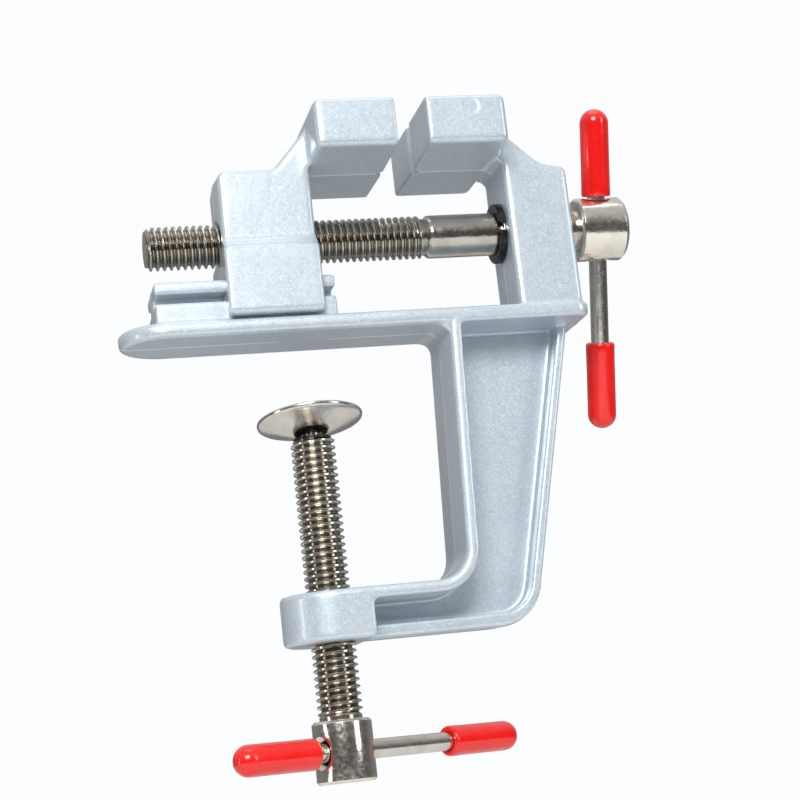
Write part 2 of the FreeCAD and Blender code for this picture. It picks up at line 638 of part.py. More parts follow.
for name, shape in PIECES.items():
    export(shape, name)
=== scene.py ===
import math

import bmesh
import bpy
import numpy as np
from mathutils import Matrix, Vector


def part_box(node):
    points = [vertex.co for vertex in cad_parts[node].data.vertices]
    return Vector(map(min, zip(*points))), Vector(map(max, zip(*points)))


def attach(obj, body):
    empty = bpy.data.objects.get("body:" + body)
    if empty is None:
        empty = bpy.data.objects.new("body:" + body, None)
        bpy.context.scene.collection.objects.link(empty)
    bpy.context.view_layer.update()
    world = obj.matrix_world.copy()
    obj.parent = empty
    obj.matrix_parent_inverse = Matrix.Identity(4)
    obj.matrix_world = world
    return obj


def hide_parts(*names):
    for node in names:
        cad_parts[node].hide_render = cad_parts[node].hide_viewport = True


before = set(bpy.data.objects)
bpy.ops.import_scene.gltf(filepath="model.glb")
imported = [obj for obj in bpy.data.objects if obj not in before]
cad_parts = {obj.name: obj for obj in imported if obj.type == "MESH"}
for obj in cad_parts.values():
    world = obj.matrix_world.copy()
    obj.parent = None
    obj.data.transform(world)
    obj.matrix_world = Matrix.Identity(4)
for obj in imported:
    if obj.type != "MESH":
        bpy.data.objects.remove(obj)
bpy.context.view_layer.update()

# Lengths in this script are millimetres, turned into metres by MM when a mesh or a node is made.
MM = 0.001

# ---- dimensions shared with the CAD part ----------------------------------------------------
SCREW_Z = 18.5
SCREW_LEFT = -27.0
THREAD_END = 23.9
NECK_LENGTH = 1.2
NECK_RADIUS = 3.4
SHANK_RADIUS = 4.0
RING_LEFT = 38.3
RING_THICKNESS = 1.2
RING_SEAT_RADIUS = 3.4
MAIN_HEAD_LEFT = 54.3
MAIN_HEAD_RIGHT = 63.6
MAIN_HEAD_RADIUS = 6.0

MAIN_HEAD_LEFT_EASE = 0.5
MAIN_HEAD_RIGHT_EASE = 0.7

CLAMP_HEAD_TOP = -68.1
CLAMP_HEAD_BOTTOM = -78.9
CLAMP_HEAD_RADIUS = 5.25
CLAMP_HEAD_EASE = 0.5
COLLAR_RADIUS = 3.75
COLLAR_TOP = CLAMP_HEAD_TOP + 1.1
TIP_SHOULDER_Z = -18.5
PIN_RADIUS = 1.6
RIVET_RADIUS = 2.7
RIVET_BOTTOM = -15.8
RIVET_TOP = -15.1
PAD_PIVOT_Z = -16.9
PAD_FRONT_UP = 8.1                # degrees
PAD_RIGHT_UP = 1.2

BAR_RADIUS = 1.7
BAR_HOLE_RADIUS = 1.95
BAR_HOLE_SINK = 0.9
MAIN_BAR_FREE_LENGTH = 27.8
CLAMP_BAR_FREE_LENGTH = 30.7
CAP_LENGTH = 16.5
CAP_SOCKET = 13.5
CAP_RADIUS = 2.75
MAIN_NEAR_CAP = MAIN_HEAD_RADIUS + 0.2
CLAMP_NEAR_CAP = CLAMP_HEAD_RADIUS + 1.35
CAP_DOME = 2.7
MAIN_BAR_LEAN = math.radians(18.0)
CLAMP_BAR_TURN = math.radians(28.0)

# ---- thread ---------------------------------------------------------------------------------
PITCH = 1.25
CREST_RADIUS = 3.97
ROOT_RADIUS = 3.27
MAIN_START_TAPER = 0.8
MAIN_END_FADE = 1.6
STEPS_PER_PITCH = 12
THREAD_SIDES = 72
ROUND_SIDES = 96
HOLE_SIDES = 64
ROOT_FLAT = 0.2                   # shares of half a pitch taken by the flat root and the flank
FLANK = 0.64
HEAD_EDGE_ROUND = 0.10
OVERLAP = 0.5                     # how far one shell of a piece reaches into the next


# ---- mesh helpers ---------------------------------------------------------------------------
def new_object(name, mesh):
    made = bpy.data.objects.new(name, mesh)
    bpy.context.scene.collection.objects.link(made)
    return made


def shells_to_object(name, shells, sharp_degrees=35):
    """One object from closed shells given as (vertices in mm, faces)."""
    verts, faces = [], []
    for shell_verts, shell_faces in shells:
        first = len(verts)
        verts += [Vector(v) * MM for v in shell_verts]
        faces += [[first + i for i in face] for face in shell_faces]
    mesh = bpy.data.meshes.new(name)
    mesh.from_pydata(verts, [], faces)
    clean(mesh)
    smooth(mesh, sharp_degrees)
    return new_object(name, mesh)


def clean(mesh):
    """Merge vertices that lie on each other, drop collapsed faces and turn all faces outwards."""
    bm = bmesh.new()
    bm.from_mesh(mesh)
    bmesh.ops.remove_doubles(bm, verts=bm.verts, dist=1e-6)
    bmesh.ops.dissolve_degenerate(bm, edges=bm.edges, dist=1e-6)
    bmesh.ops.recalc_face_normals(bm, faces=bm.faces)
    bm.to_mesh(mesh)
    bm.free()


def smooth(mesh, sharp_degrees):
    for polygon in mesh.polygons:
        polygon.use_smooth = True
    mesh.set_sharp_from_angle(angle=math.radians(sharp_degrees))


def apply_modifiers(obj):
    graph = bpy.context.evaluated_depsgraph_get()
    graph.update()
    done = bpy.data.meshes.new_from_object(obj.evaluated_get(graph))
    obj.modifiers.clear()
    obj.data = done


def basis(axis):
    """Two unit vectors that make a right-handed frame with axis."""
    axis = Vector(axis).normalized()
    side = Vector((0, 1, 0)) if abs(axis.y) < 0.9 else Vector((0, 0, 1))
    first = (side - axis * side.dot(axis)).normalized()
    return axis, first, axis.cross(first)


def lathe(profile, origin, axis, sides=ROUND_SIDES):
    """Closed shell turned round an axis; profile is (distance along the axis, radius) in mm."""
    axis, first, second = basis(axis)
    verts, faces, rings = [], [], []
    for along, radius in profile:
        if radius < 1e-6:
            rings.append([len(verts)] * sides)
            verts.append(Vector(origin) + axis * along)
            continue
        rings.append(list(range(len(verts), len(verts) + sides)))
        for i in range(sides):
            turn = math.tau * i / sides
            out = first * math.cos(turn) + second * math.sin(turn)
            verts.append(Vector(origin) + axis * along + out * radius)
    for low, high in zip(rings, rings[1:]):
        for i in range(sides):
            j = (i + 1) % sides
            corners = [low[i], low[j], high[j], high[i]]
            face = [c for n, c in enumerate(corners) if c not in corners[:n]]
            if len(face) > 2:
                faces.append(face)
    return verts, faces


def smoothstep(value):
    value = min(max(value, 0.0), 1.0)
    return value * value * (3 - 2 * value)


def thread_height(phase):
    """Height of the thread between its root, 0, and its crest, 1, over one pitch."""
    away = abs((phase % 1.0) - 0.5) * 2           # 1 on the crest, 0 in the middle of the root
    return smoothstep((away - ROOT_FLAT) / FLANK)


def thread(start, end, origin, axis, start_taper, end_fade):
    """Right-handed helical thread with flat ends, on a grid that is sheared along the helix.

    start_taper is how far the first turns are chamfered; over end_fade the root rises.
    """
    axis, first, second = basis(axis)
    origin = Vector(origin)
    rows = int((end - start) / PITCH * STEPS_PER_PITCH) + 2 * STEPS_PER_PITCH
    verts, faces = [], []
    for side in range(THREAD_SIDES):
        turn = math.tau * side / THREAD_SIDES
        out = first * math.cos(turn) + second * math.sin(turn)
        for row in range(rows):
            along = start + (row / STEPS_PER_PITCH - 1 + side / THREAD_SIDES) * PITCH
            along = min(max(along, start), end)
            phase = (along - start) / PITCH - side / THREAD_SIDES
            root = ROOT_RADIUS
            if end_fade > 0:
                root += (NECK_RADIUS - ROOT_RADIUS) * smoothstep(1 - (end - along) / end_fade)
            radius = root + (CREST_RADIUS - root) * thread_height(phase)
            if start_taper > 0:
                radius = min(radius, CREST_RADIUS - start_taper + (along - start))
            verts.append(origin + axis * along + out * radius)
    for side in range(THREAD_SIDES):
        wraps = side == THREAD_SIDES - 1
        here = side * rows
        there = 0 if wraps else here + rows
        shift = STEPS_PER_PITCH if wraps else 0
        for row in range(rows - 1 - shift):
            faces.append([here + row, here + row + 1, there + row + shift + 1, there + row + shift])
    start_disc = [side * rows for side in range(THREAD_SIDES)]
    end_disc = [side * rows + rows - 1 for side in range(THREAD_SIDES)]
    return verts, faces + [start_disc, end_disc[::-1]]


def cut(obj, shell):
    """Take a closed shell out of obj."""
    tool = shells_to_object("cutter", [shell])
    modifier = obj.modifiers.new("cut", "BOOLEAN")
    modifier.operation = "DIFFERENCE"
    modifier.solver = "EXACT"
    modifier.object = tool
    apply_modifiers(obj)
    bpy.data.objects.remove(tool)


def ease_edges(obj, width, sharp_degrees=30):
    """Small rounds on every edge that turns more than sharp_degrees."""
    modifier = obj.modifiers.new("ease", "BEVEL")
    modifier.width = width * MM
    modifier.segments = 3
    modifier.limit_method = "ANGLE"
    modifier.angle_limit = math.radians(sharp_degrees)
    modifier.harden_normals = False
    apply_modifiers(obj)
    smooth(obj.data, sharp_degrees=50)


# ---- colours --------------------------------------------------------------------------------
PAINT_DEEP = (0.500, 0.575, 0.640)
PAINT_PALE = (0.540, 0.615, 0.680)
PAINT_MOTTLE = (0.60, 0.68, 0.745)
FLAKE_PAINTED_GLINT = (0.80, 0.86, 0.91)
FLAKE_DARK = (0.32, 0.38, 0.45)
NICKEL_DULL = (0.64, 0.595, 0.525)
NICKEL_BRIGHT = (0.78, 0.74, 0.675)
THREAD_ROOT_DARK = (0.20, 0.175, 0.135)
VINYL_DEEP = (0.76, 0.007, 0.005)
VINYL_BRIGHT = (0.85, 0.013, 0.009)
OXIDE_DEEP = (0.012, 0.012, 0.014)
OXIDE_WORN = (0.045, 0.042, 0.040)
FLOOR_DEEP = (0.83, 0.83, 0.83)
FLOOR_PALE = (0.87, 0.87, 0.865)


# ---- node helpers ---------------------------------------------------------------------------
class Look:
    """A node material with one Principled shader, built up by the helpers below."""

    def __init__(self, name):
        self.material = bpy.data.materials.new(name)
        self.material.use_nodes = True
        self.nodes = self.material.node_tree.nodes
        self.links = self.material.node_tree.links
        self.shader = next(n for n in self.nodes if n.type == "BSDF_PRINCIPLED")
        self.place = self.nodes.new("ShaderNodeTexCoord").outputs["Object"]
        self.height = None

    def put(self, name, value):
        self.shader.inputs[name].default_value = value

    def wire(self, source, target):
        self.links.new(source, target)

    def noise(self, size, detail=2.0, roughness=0.5):
        """Noise whose features are about size millimetres."""
        node = self.nodes.new("ShaderNodeTexNoise")
        node.inputs["Scale"].default_value = 1 / (size * MM)
        node.inputs["Detail"].default_value = detail
        node.inputs["Roughness"].default_value = roughness
        self.wire(self.place, node.inputs["Vector"])
        return node.outputs["Fac"]

    def cells(self, size):
        """A random value for each cell about size millimetres wide."""
        node = self.nodes.new("ShaderNodeTexVoronoi")
        node.inputs["Scale"].default_value = 1 / (size * MM)
        self.wire(self.place, node.inputs["Vector"])
        split = self.nodes.new("ShaderNodeSeparateColor")
        self.wire(node.outputs["Color"], split.inputs["Color"])
        return split.outputs["Red"]

    def span(self, source, from_low, from_high, to_low, to_high):
        node = self.nodes.new("ShaderNodeMapRange")
        self.wire(source, node.inputs["Value"])
        node.inputs["From Min"].default_value = from_low
        node.inputs["From Max"].default_value = from_high
        node.inputs["To Min"].default_value = to_low
        node.inputs["To Max"].default_value = to_high
        return node.outputs["Result"]

    def blend(self, factor, low, high):
        """Mix two colours; each is a colour tuple or a socket."""
        node = self.nodes.new("ShaderNodeMix")
        node.data_type = "RGBA"
        self.wire(factor, node.inputs["Factor"])
        for source, target in ((low, node.inputs["A"]), (high, node.inputs["B"])):
            if isinstance(source, tuple):
                target.default_value = (*source, 1.0)
            else:
                self.wire(source, target)
        return node.outputs["Result"]

    def maths(self, operation, first, second):
        node = self.nodes.new("ShaderNodeMath")
        node.operation = operation
        for source, target in ((first, node.inputs[0]), (second, node.inputs[1])):
            if isinstance(source, (int, float)):
                target.default_value = source
            else:
                self.wire(source, target)
        return node.outputs["Value"]

    def bump(self, source, depth, strength=1.0):
        """Add a relief of depth millimetres on top of the bumps that are already there."""
        node = self.nodes.new("ShaderNodeBump")
        node.inputs["Distance"].default_value = depth * MM
        node.inputs["Strength"].default_value = strength
        self.wire(source, node.inputs["Height"])
        if self.height is not None:
            self.wire(self.height, node.inputs["Normal"])
        self.height = node.outputs["Normal"]
        self.wire(self.height, self.shader.inputs["Normal"])

    def radius_from(self, axis_name):
        """Distance in metres from the screw axis named main or clamp."""
        split = self.nodes.new("ShaderNodeSeparateXYZ")
        self.wire(self.place, split.inputs["Vector"])
        if axis_name == "main":
            across = split.outputs["Y"]
            up = self.maths("SUBTRACT", split.outputs["Z"], SCREW_Z * MM)
        else:
            across = split.outputs["X"]
            up = split.outputs["Y"]
        square = self.maths("ADD", self.maths("MULTIPLY", across, across),
                            self.maths("MULTIPLY", up, up))
        return self.maths("SQRT", square, 0.0)


def make_paint():
    """Silver-blue metallic paint: fine flakes under a gloss film, with light orange peel; the brightest
    flake cells are painted highlights.
    """
    look = Look("silver_cast_paint")
    flakes = look.cells(0.19)
    cloud = look.noise(9.0, 3.0)
    patch = look.span(cloud, 0.35, 0.65, 0.0, 1.0)
    base = look.blend(patch, PAINT_DEEP, PAINT_PALE)
    mottle = look.span(look.noise(0.9, 3.0, 0.6), 0.35, 0.65, 0.0, 0.45)
    base = look.blend(mottle, base, PAINT_MOTTLE)
    # the brightest flake cells are painted highlights, sparkle painted into the base colour
    painted_glint = look.span(flakes, 0.80, 1.0, 0.0, 0.55)
    base = look.blend(painted_glint, base, FLAKE_PAINTED_GLINT)
    dark = look.span(flakes, 0.0, 0.18, 0.30, 0.0)
    base = look.blend(dark, base, FLAKE_DARK)
    look.wire(base, look.shader.inputs["Base Color"])
    look.put("Metallic", 0.35)
    look.wire(look.span(flakes, 0.0, 1.0, 0.30, 0.46), look.shader.inputs["Roughness"])
    look.put("Coat Weight", 0.75)
    look.put("Coat Roughness", 0.09)
    look.put("Coat IOR", 1.5)
    look.bump(look.noise(0.30, 2.0), 0.010, 0.6)
    look.bump(look.noise(1.6, 2.0), 0.030, 0.8)
    look.bump(look.noise(6.0, 1.0), 0.060, 0.8)
    coat_peel = look.nodes.new("ShaderNodeBump")
    coat_peel.inputs["Distance"].default_value = 0.025 * MM
    coat_peel.inputs["Strength"].default_value = 0.8
    look.wire(look.noise(1.8, 2.0), coat_peel.inputs["Height"])
    look.wire(coat_peel.outputs["Normal"], look.shader.inputs["Coat Normal"])
    return look.material


def make_nickel(name, ripple, painted_brightness, axis_name=None):
    """Warm nickel plate over a surface with waves ripple mm deep; a brightness factor scales its colour,
    which paints lighter copies of the same plating as painted highlight and darker copies as painted
    dark reflection.

    With an axis name the roots of that screw's thread are given a darker colour.
    """
    look = Look(name)
    tint = look.span(look.noise(3.0, 3.0), 0.3, 0.7, 0.0, 1.0)
    dull = tuple(channel * painted_brightness for channel in NICKEL_DULL)
    bright = tuple(channel * painted_brightness for channel in NICKEL_BRIGHT)
    base = look.blend(tint, dull, bright)
    if axis_name:
        away = look.radius_from(axis_name)
        # darker colour towards the roots of the thread
        low = look.span(away, (ROOT_RADIUS - 0.02) * MM, (ROOT_RADIUS + 0.42) * MM, 0.85, 0.0)
        base = look.blend(low, base, THREAD_ROOT_DARK)
    look.wire(base, look.shader.inputs["Base Color"])
    look.put("Metallic", 1.0)
    look.wire(look.span(look.noise(0.7, 4.0), 0.3, 0.7, 0.12, 0.26), look.shader.inputs["Roughness"])
    look.bump(look.noise(0.45, 3.0), 0.012, 0.7)
    look.bump(look.noise(1.3, 2.0), ripple, 0.8)
    return look.material


def make_vinyl():
    """Glossy red dipped vinyl."""
    look = Look("red_dipped_vinyl")
    tint = look.span(look.noise(4.0, 2.0), 0.3, 0.7, 0.0, 1.0)
    look.wire(look.blend(tint, VINYL_DEEP, VINYL_BRIGHT), look.shader.inputs["Base Color"])
    look.wire(look.span(look.noise(1.5, 3.0), 0.3, 0.7, 0.14, 0.24), look.shader.inputs["Roughness"])
    look.put("Subsurface Weight", 0.12)
    look.put("Subsurface Radius", (1.2 * MM, 0.2 * MM, 0.1 * MM))
    look.put("Subsurface Scale", 1.0)
    look.put("Coat Weight", 0.4)
    look.put("Coat Roughness", 0.06)
    look.bump(look.noise(2.5, 1.0), 0.030, 0.6)
    look.bump(look.noise(0.25, 2.0), 0.004, 0.5)
    return look.material


def make_black_oxide():
    look = Look("black_oxide")
    tint = look.span(look.noise(0.8, 4.0), 0.35, 0.7, 0.0, 1.0)
    look.wire(look.blend(tint, OXIDE_DEEP, OXIDE_WORN), look.shader.inputs["Base Color"])
    look.put("Metallic", 0.7)
    look.wire(look.span(look.noise(0.5, 3.0), 0.3, 0.7, 0.24, 0.42), look.shader.inputs["Roughness"])
    look.bump(look.noise(0.3, 3.0), 0.010, 0.6)
    return look.material


PAINT = make_paint()
# Copies of one nickel plate at different brightness: the heads are painted lighter as painted highlight,
# the main screw painted darker as painted dark reflection
NICKEL = make_nickel("bright_nickel", 0.02, 0.95)
HEAD_NICKEL_PAINTED_LIGHTER = make_nickel("head_nickel_painted_lighter", 0.045, 1.12)
MAIN_NICKEL_PAINTED_DARKER = make_nickel("main_screw_nickel_painted_darker", 0.05, 0.72, "main")
CLAMP_NICKEL = make_nickel("clamp_screw_nickel", 0.03, 0.95, "clamp")
VINYL = make_vinyl()
BLACK = make_black_oxide()


def finish_piece(obj, material, slot_name, body, *nodes):
    obj.data.materials.clear()
    obj.data.materials.append(material)
    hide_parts(*nodes)
    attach(obj, body)
    return obj


def repaint_node(node, material):
    for material_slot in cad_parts[node].material_slots:
        material_slot.material = material


# ---- castings -------------------------------------------------------------------------------
VOXEL = 0.30
SMOOTHING_FACTOR = 0.5
SMOOTHING_ROUNDS = 7
TRIANGLE_LIMIT = 190000
RIDGE_HEIGHT = 0.12               # parting line left where the two mould halves met
RIDGE_HALF_WIDTH = 0.22
BORE_GUARD = 4.5                  # no ridge this near to a screw's axis
JAW_BOTTOM = 31.5
JAW_HALF_WIDTH = 15.5
JAW_DRAFT = 0.35                  # a jaw's underside stands this much lower at the parting line
FACE_REACH = 0.5                  # how far from its plane a surface still counts as that face
FIXED_JAW_MARK = (32.6, 38.3, -JAW_HALF_WIDTH, 1.5, 0.10)
MARK_EDGE = 0.12
MARK_RIM_WIDTH = 0.2
MARK_RIM_SHARE = 0.5              # height of the raised rim as a share of the mark's depth


def soft_casting(node, pin_marks=()):
    """The CAD casting with soft inner and outer corners and a parting line.

    Each ejector-pin mark on a front face is given as its x, its z, the face's y, radius and depth.
    """
    obj = new_object(node + "_cast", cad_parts[node].data.copy())
    clean(obj.data)
    remesh = obj.modifiers.new("voxels", "REMESH")
    remesh.mode = "VOXEL"
    remesh.voxel_size = VOXEL * MM
    relax = obj.modifiers.new("relax", "SMOOTH")
    relax.factor = SMOOTHING_FACTOR
    relax.iterations = SMOOTHING_ROUNDS
    apply_modifiers(obj)
    mesh = obj.data
    count = len(mesh.vertices)
    places = np.zeros(count * 3)
    normals = np.zeros(count * 3)
    mesh.vertices.foreach_get("co", places)
    mesh.vertex_normals.foreach_get("vector", normals)
    places = places.reshape(-1, 3) / MM
    normals = normals.reshape(-1, 3)
    x, y, z = places.T
    ridge = RIDGE_HEIGHT * np.exp(-(y / RIDGE_HALF_WIDTH) ** 2)
    near_main = np.hypot(y, z - SCREW_Z) < BORE_GUARD
    near_clamp = np.hypot(x, y) < BORE_GUARD
    front_or_back = np.abs(normals[:, 1]) > 0.4
    ridge[near_main | near_clamp | front_or_back] = 0
    shift = normals * ridge[:, None]
    under_jaw = (normals[:, 2] < -0.7) & (np.abs(z - JAW_BOTTOM) < FACE_REACH)
    shift[:, 2] -= np.where(under_jaw, JAW_DRAFT * (1 - np.abs(y) / JAW_HALF_WIDTH), 0)
    for mark_x, mark_z, front_y, radius, depth in pin_marks:
        away = np.hypot(x - mark_x, z - mark_z)
        dent = depth / (1 + np.exp((away - radius) / MARK_EDGE))
        from_rim = (away - radius - MARK_RIM_WIDTH) / MARK_RIM_WIDTH
        rim = MARK_RIM_SHARE * depth * np.exp(-from_rim ** 2)
        on_face = (np.abs(y - front_y) < FACE_REACH) & (normals[:, 1] < -0.5)
        shift[:, 1] += np.where(on_face, dent - rim, 0)
    low, high = (np.array(corner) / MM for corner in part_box(node))
    places = np.clip(places + shift, low, high)
    mesh.vertices.foreach_set("co", (places * MM).ravel())
    mesh.update()
    triangles = 2 * len(mesh.polygons)
    if triangles > TRIANGLE_LIMIT:
        thin = obj.modifiers.new("thin", "DECIMATE")
        thin.ratio = TRIANGLE_LIMIT / triangles
        apply_modifiers(obj)
    smooth(obj.data, sharp_degrees=180)
    return obj


frame_cast = soft_casting("frame_casting", [FIXED_JAW_MARK])
finish_piece(frame_cast, PAINT, "cast_paint", "frame", "frame_casting")
jaw_cast = soft_casting("moving_jaw")
finish_piece(jaw_cast, PAINT, "cast_paint", "jaw", "moving_jaw")


# ---- screws ---------------------------------------------------------------------------------
def bar_hole(centre, axis, head_radius):
    """Cutter for a cross hole with a countersink at both mouths."""
    reach = head_radius + 1.0
    floor = head_radius - BAR_HOLE_SINK
    widest = BAR_HOLE_RADIUS + reach - floor
    profile = [(-reach, 0), (-reach, widest), (-floor, BAR_HOLE_RADIUS),
               (floor, BAR_HOLE_RADIUS), (reach, widest), (reach, 0)]
    return lathe(profile, centre, axis, HOLE_SIDES)


def make_head(name, profile, origin, axis, centre, bar_axis, head_radius):
    head = shells_to_object(name, [lathe(profile, origin, axis)])
    cut(head, bar_hole(centre, bar_axis, head_radius))
    ease_edges(head, HEAD_EDGE_ROUND)
    return head


main_axis = Vector((1, 0, 0))
main_origin = Vector((0, 0, SCREW_Z))
main_bar_axis = Vector((0, -math.sin(MAIN_BAR_LEAN), math.cos(MAIN_BAR_LEAN)))
main_bar_centre = Vector(((MAIN_HEAD_LEFT + MAIN_HEAD_RIGHT) / 2, 0, SCREW_Z))
clamp_axis = Vector((0, 0, 1))
clamp_bar_axis = Vector((-math.cos(CLAMP_BAR_TURN), -math.sin(CLAMP_BAR_TURN), 0))
clamp_bar_centre = Vector((0, 0, (CLAMP_HEAD_TOP + CLAMP_HEAD_BOTTOM) / 2))

main_thread = thread(SCREW_LEFT, THREAD_END, main_origin, main_axis, MAIN_START_TAPER, MAIN_END_FADE)
shank_left = THREAD_END + NECK_LENGTH
main_shank = lathe([(THREAD_END - 1.0, 0), (THREAD_END - 1.0, ROOT_RADIUS - 0.1),
                    (THREAD_END + 0.1, NECK_RADIUS), (shank_left - 0.25, NECK_RADIUS),
                    (shank_left + 0.35, SHANK_RADIUS - 0.06), (shank_left + 0.8, SHANK_RADIUS),
                    (RING_LEFT - 0.15, SHANK_RADIUS), (RING_LEFT, SHANK_RADIUS - 0.15),
                    (RING_LEFT, RING_SEAT_RADIUS), (RING_LEFT + RING_THICKNESS, RING_SEAT_RADIUS),
                    (RING_LEFT + RING_THICKNESS, SHANK_RADIUS),
                    (MAIN_HEAD_LEFT + OVERLAP, SHANK_RADIUS), (MAIN_HEAD_LEFT + OVERLAP, 0)],
                   main_origin, main_axis)
main_rod = shells_to_object("main_screw_rod", [main_thread, main_shank])
main_head = make_head(
    "main_screw_head",
    [(MAIN_HEAD_LEFT, 0), (MAIN_HEAD_LEFT, MAIN_HEAD_RADIUS - MAIN_HEAD_LEFT_EASE),
     (MAIN_HEAD_LEFT + MAIN_HEAD_LEFT_EASE, MAIN_HEAD_RADIUS),
     (MAIN_HEAD_RIGHT - MAIN_HEAD_RIGHT_EASE, MAIN_HEAD_RADIUS),
     (MAIN_HEAD_RIGHT, MAIN_HEAD_RADIUS - MAIN_HEAD_RIGHT_EASE), (MAIN_HEAD_RIGHT, 0)],
    main_origin, main_axis, main_bar_centre, main_bar_axis, MAIN_HEAD_RADIUS)
finish_piece(main_rod, MAIN_NICKEL_PAINTED_DARKER, "nickel", "main_screw", "main_screw")
finish_piece(main_head, HEAD_NICKEL_PAINTED_LIGHTER, "nickel", "main_screw", "main_screw")

clamp_thread = thread(CLAMP_HEAD_TOP + 0.9, TIP_SHOULDER_Z, Vector(), clamp_axis, 0, 0)
collar = lathe([(CLAMP_HEAD_TOP - OVERLAP, 0), (CLAMP_HEAD_TOP - OVERLAP, COLLAR_RADIUS),
                (COLLAR_TOP - 0.4, COLLAR_RADIUS), (COLLAR_TOP, COLLAR_RADIUS - 0.45),
                (COLLAR_TOP, 0)], Vector(), clamp_axis)
pin = lathe([(TIP_SHOULDER_Z - 0.4, 0), (TIP_SHOULDER_Z - 0.4, PIN_RADIUS),
             (RIVET_BOTTOM + 0.1, PIN_RADIUS), (RIVET_BOTTOM + 0.1, 0)], Vector(), clamp_axis)
rivet = lathe([(RIVET_BOTTOM, 0), (RIVET_BOTTOM, RIVET_RADIUS - 0.1), (RIVET_BOTTOM + 0.1, RIVET_RADIUS),
               (RIVET_BOTTOM + 0.3, RIVET_RADIUS - 0.1), (RIVET_TOP - 0.12, RIVET_RADIUS - 0.8),
               (RIVET_TOP, RIVET_RADIUS - 1.5), (RIVET_TOP, 0)], Vector(), clamp_axis)
clamp_rod = shells_to_object("clamp_screw_rod", [clamp_thread, collar, pin, rivet])
clamp_head = make_head(
    "clamp_screw_head",
    [(CLAMP_HEAD_BOTTOM, 0), (CLAMP_HEAD_BOTTOM, CLAMP_HEAD_RADIUS - CLAMP_HEAD_EASE),
     (CLAMP_HEAD_BOTTOM + CLAMP_HEAD_EASE, CLAMP_HEAD_RADIUS),
     (CLAMP_HEAD_TOP - CLAMP_HEAD_EASE, CLAMP_HEAD_RADIUS),
     (CLAMP_HEAD_TOP, CLAMP_HEAD_RADIUS - CLAMP_HEAD_EASE), (CLAMP_HEAD_TOP, 0)],
    Vector(), clamp_axis, clamp_bar_centre, clamp_bar_axis, CLAMP_HEAD_RADIUS)
finish_piece(clamp_rod, CLAMP_NICKEL, "nickel", "clamp_screw", "clamp_screw")
finish_piece(clamp_head, HEAD_NICKEL_PAINTED_LIGHTER, "nickel", "clamp_screw", "clamp_screw")


# ---- clamp pad ------------------------------------------------------------------------------
def make_pad():
    """Pressed saucer: thin bright rim, curved underside and a shallow bowl on top.

    Each profile point is a height above the pivot and a radius.
    """
    under = [(-0.5, 1.9), (-0.5, 2.7), (-0.42, 3.1), (-0.05, 4.4), (0.52, 6.0), (1.08, 7.6),
             (1.48, 8.7), (1.70, 9.2), (1.86, 9.42), (2.05, 9.54)]
    top = [(2.34, 9.58), (2.50, 9.52), (2.58, 9.38), (2.60, 9.1), (2.50, 8.5), (2.18, 7.4),
           (1.62, 6.0), (1.02, 4.6), (0.66, 3.7), (0.52, 3.2), (0.5, 2.8), (0.5, 1.9)]
    profile = under + top + under[:1]
    saucer = lathe(profile, Vector(), clamp_axis)
    pad = shells_to_object("clamp_pad_saucer", [saucer], sharp_degrees=50)
    front, right = math.radians(PAD_FRONT_UP), math.radians(PAD_RIGHT_UP)
    normal = Vector((-math.tan(right), math.tan(front), 1)).normalized()
    tilt = Vector((0, 0, 1)).rotation_difference(normal).to_matrix().to_4x4()
    pad.data.transform(Matrix.Translation((0, 0, PAD_PIVOT_Z * MM)) @ tilt)
    return pad


finish_piece(make_pad(), NICKEL, "nickel", "clamp_pad", "clamp_pad")


# ---- handles --------------------------------------------------------------------------------
def make_cap(name, centre, bar_axis, start, outwards):
    """Dipped vinyl cap: rolled lip, slight taper and domed end, hollow where the bar sits."""
    dome_start = CAP_LENGTH - CAP_DOME
    body_radius = CAP_RADIUS - 0.04
    profile = [(CAP_SOCKET, 0), (CAP_SOCKET, BAR_RADIUS + 0.01), (0.25, BAR_RADIUS + 0.01),
               (0.08, BAR_RADIUS + 0.12), (0.0, BAR_RADIUS + 0.35), (0.0, CAP_RADIUS - 0.40),
               (0.07, CAP_RADIUS - 0.18), (0.25, CAP_RADIUS - 0.05), (0.55, CAP_RADIUS),
               (1.6, CAP_RADIUS - 0.01), (4.0, body_radius), (dome_start * 0.7, body_radius)]
    for step in range(13):
        angle = math.pi / 2 * step / 12
        profile.append((dome_start + CAP_DOME * math.sin(angle), body_radius * math.cos(angle)))
    profile[-1] = (CAP_LENGTH, 0)
    cap = lathe(profile, centre + bar_axis * start, bar_axis * outwards, HOLE_SIDES)
    return shells_to_object(name, [cap], sharp_degrees=40)


for body, centre, bar_axis, near_cap, free_length, near_name, far_name in (
        ("main_handle", main_bar_centre, main_bar_axis, MAIN_NEAR_CAP, MAIN_BAR_FREE_LENGTH,
         "main_handle_cap_top", "main_handle_cap_bottom"),
        ("clamp_handle", clamp_bar_centre, clamp_bar_axis, CLAMP_NEAR_CAP, CLAMP_BAR_FREE_LENGTH,
         "clamp_handle_cap_left", "clamp_handle_cap_right")):
    near = make_cap(near_name + "_vinyl", centre, bar_axis, near_cap, 1)
    finish_piece(near, VINYL, "cap_red", body, near_name)
    far = make_cap(far_name + "_vinyl", centre, bar_axis, near_cap - free_length, -1)
    finish_piece(far, VINYL, "cap_red", body, far_name)

for node in ("main_handle_bar", "clamp_handle_bar"):
    repaint_node(node, NICKEL)
for node in ("retaining_ring", "swivel_washer"):
    repaint_node(node, BLACK)


